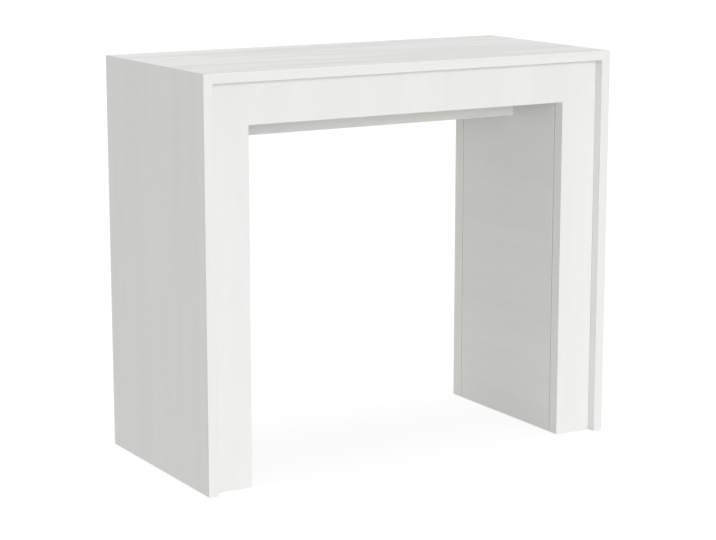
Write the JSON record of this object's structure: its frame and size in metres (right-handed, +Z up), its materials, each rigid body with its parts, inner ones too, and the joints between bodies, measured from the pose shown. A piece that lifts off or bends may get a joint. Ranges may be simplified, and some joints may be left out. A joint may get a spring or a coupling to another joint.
{
  "type": "extending console table",
  "caption": "Closed console table with a white ash-grain finish; its front portal slides out of the top and sides on telescopic rails to carry loose leaves.",
  "frame": {"origin": "middle of the closed table's footprint, on the floor", "axes": "+Z up; +X along the table's width; the front, which slides out, faces -Y"},
  "size_m": [0.9, 0.42, 0.78],
  "materials": {
    "white_ash_board": "white melamine-faced board with a faint embossed ash grain, matte",
    "rail_aluminium": "satin anodised extrusion",
    "zinc_steel": "bright zinc",
    "slide_nylon": "moulded natural nylon",
    "cap_plastic": "moulded, fine texture",
    "beech_dowel": "raw fluted beech",
    "glide_plastic": "smooth",
    "bumper_rubber": "soft, matte"
  },
  "bodies": {
    "carcass": {"top_panel": "white_ash_board", "left_side_panel": "white_ash_board", "right_side_panel": "white_ash_board", "rear_left_leg": "white_ash_board", "rear_right_leg": "white_ash_board", "rear_apron": "white_ash_board", "left_rail_1": "rail_aluminium", "right_rail_1": "rail_aluminium", "rail_1_slide_blocks": "slide_nylon", "rail_1_end_caps": "cap_plastic", "carcass_cam_locks": "zinc_steel", "carcass_cam_bolts": "zinc_steel", "carcass_dowels": "beech_dowel", "mitre_bolts": "zinc_steel", "top_rail_screws": "zinc_steel", "carcass_glides": "glide_plastic", "closing_bumpers": "bumper_rubber"},
    "rail_pair_2": {"left_rail_2": "rail_aluminium", "right_rail_2": "rail_aluminium", "rail_2_slide_blocks": "slide_nylon", "rail_2_end_caps": "cap_plastic"},
    "rail_pair_3": {"left_rail_3": "rail_aluminium", "right_rail_3": "rail_aluminium", "rail_3_slide_blocks": "slide_nylon", "rail_3_end_caps": "cap_plastic"},
    "rail_pair_4": {"left_rail_4": "rail_aluminium", "right_rail_4": "rail_aluminium", "rail_4_slide_blocks": "slide_nylon", "rail_4_end_caps": "cap_plastic"},
    "rail_pair_5": {"left_rail_5": "rail_aluminium", "right_rail_5": "rail_aluminium", "rail_5_slide_blocks": "slide_nylon", "rail_5_end_caps": "cap_plastic"},
    "rail_pair_6": {"left_rail_6": "rail_aluminium", "right_rail_6": "rail_aluminium", "rail_6_slide_blocks": "slide_nylon", "rail_6_end_caps": "cap_plastic"},
    "rail_pair_7": {"left_rail_7": "rail_aluminium", "right_rail_7": "rail_aluminium", "rail_7_slide_blocks": "slide_nylon", "rail_7_end_caps": "cap_plastic"},
    "portal": {"front_left_leg": "white_ash_board", "front_right_leg": "white_ash_board", "front_apron": "white_ash_board", "left_inner_panel": "white_ash_board", "right_inner_panel": "white_ash_board", "cross_board": "white_ash_board", "left_rail_8": "rail_aluminium", "right_rail_8": "rail_aluminium", "rail_8_end_caps": "cap_plastic", "portal_cam_locks": "zinc_steel", "portal_cam_bolts": "zinc_steel", "portal_dowels": "beech_dowel", "left_rail_bracket": "zinc_steel", "right_rail_bracket": "zinc_steel", "cross_board_screws": "zinc_steel", "bracket_apron_screws": "zinc_steel", "bracket_rail_screws": "zinc_steel", "portal_glides": "glide_plastic"}
  },
  "joints": [
    {"name": "portal_slide", "type": "slide", "parent": "carcass", "child": "portal", "axis": [0, -1, 0], "range_m": [0, 1.568]},
    {"name": "rail_2_slide", "type": "slide", "parent": "carcass", "child": "rail_pair_2", "axis": [0, -1, 0], "range_m": [0, 0.224]},
    {"name": "rail_3_slide", "type": "slide", "parent": "rail_pair_2", "child": "rail_pair_3", "axis": [0, -1, 0], "range_m": [0, 0.224]},
    {"name": "rail_4_slide", "type": "slide", "parent": "rail_pair_3", "child": "rail_pair_4", "axis": [0, -1, 0], "range_m": [0, 0.224]},
    {"name": "rail_5_slide", "type": "slide", "parent": "rail_pair_4", "child": "rail_pair_5", "axis": [0, -1, 0], "range_m": [0, 0.224]},
    {"name": "rail_6_slide", "type": "slide", "parent": "rail_pair_5", "child": "rail_pair_6", "axis": [0, -1, 0], "range_m": [0, 0.224]},
    {"name": "rail_7_slide", "type": "slide", "parent": "rail_pair_6", "child": "rail_pair_7", "axis": [0, -1, 0], "range_m": [0, 0.224]}
  ],
  "couplings": [
    {"joint": "rail_2_slide", "follows": "portal_slide", "ratio": 0.14286},
    {"joint": "rail_3_slide", "follows": "portal_slide", "ratio": 0.14286},
    {"joint": "rail_4_slide", "follows": "portal_slide", "ratio": 0.14286},
    {"joint": "rail_5_slide", "follows": "portal_slide", "ratio": 0.14286},
    {"joint": "rail_6_slide", "follows": "portal_slide", "ratio": 0.14286},
    {"joint": "rail_7_slide", "follows": "portal_slide", "ratio": 0.14286}
  ]
}
